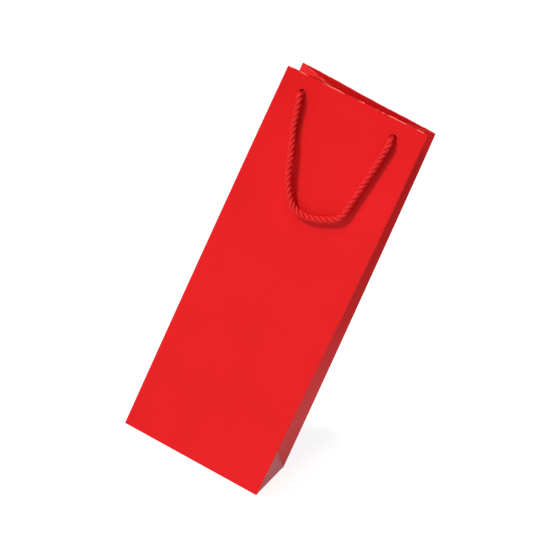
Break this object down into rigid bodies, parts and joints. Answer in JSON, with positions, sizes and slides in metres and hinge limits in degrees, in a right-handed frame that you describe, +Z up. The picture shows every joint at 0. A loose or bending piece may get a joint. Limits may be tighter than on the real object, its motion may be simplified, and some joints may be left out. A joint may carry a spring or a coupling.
{
  "type": "wine gift bag",
  "caption": "Tall gusseted paper carrier bag for one bottle, with a turned-in mouth, a stiffened base and knotted rope handles.",
  "frame": {"origin": "middle of the bottom, on the surface the bag stands on", "axes": "+X along the front panel, -Y out of the front panel, +Z up"},
  "size_m": [0.127, 0.08, 0.3293],
  "materials": {
    "red_laminated_paper": "satin film laminate",
    "white_card": "uncoated",
    "grey_board": "uncoated recycled board",
    "red_rope": "twisted three-strand cord"
  },
  "bodies": {
    "base": {"base_board": "grey_board", "bottom_back_flap": "red_laminated_paper", "bottom_front_flap": "red_laminated_paper", "bottom_right_flap": "red_laminated_paper", "bottom_left_flap": "red_laminated_paper", "right_gusset_foot": "red_laminated_paper", "left_gusset_foot": "red_laminated_paper", "right_gusset_front": "red_laminated_paper", "right_gusset_back": "red_laminated_paper", "left_gusset_front": "red_laminated_paper", "left_gusset_back": "red_laminated_paper", "right_cuff_front": "red_laminated_paper", "right_cuff_back": "red_laminated_paper", "left_cuff_front": "red_laminated_paper", "left_cuff_back": "red_laminated_paper"},
    "front": {"front_panel": "red_laminated_paper", "front_top_card": "white_card", "front_cuff": "red_laminated_paper", "front_left_knot": "red_rope", "front_right_knot": "red_rope"},
    "back": {"back_panel": "red_laminated_paper", "back_top_card": "white_card", "back_cuff": "red_laminated_paper", "back_left_knot": "red_rope", "back_right_knot": "red_rope", "back_seam_flap": "red_laminated_paper"},
    "front_handle": {"front_handle_cord": "red_rope"},
    "back_handle": {"back_handle_cord": "red_rope"}
  },
  "joints": [
    {"name": "front_lean", "type": "hinge", "parent": "base", "child": "front", "pos_m": [0, -0.04, 0], "axis": [1, 0, 0], "range_deg": [0, 3.86], "deforming": ["right_gusset_front", "left_gusset_front", "right_cuff_front", "left_cuff_front"]},
    {"name": "back_lean", "type": "hinge", "parent": "base", "child": "back", "pos_m": [0, 0.04, 0], "axis": [-1, 0, 0], "range_deg": [0, 3.86], "deforming": ["right_gusset_back", "left_gusset_back", "right_cuff_back", "left_cuff_back"]},
    {"name": "front_handle_swing", "type": "hinge", "parent": "front", "child": "front_handle", "pos_m": [0, -0.0248, 0.31469], "axis": [-1, 0, 0], "range_deg": [0, 172]},
    {"name": "back_handle_swing", "type": "hinge", "parent": "back", "child": "back_handle", "pos_m": [0, 0.0248, 0.31469], "axis": [1, 0, 0], "range_deg": [0, 172]}
  ],
  "couplings": [
    {"joint": "back_lean", "follows": "front_lean", "ratio": 1}
  ]
}
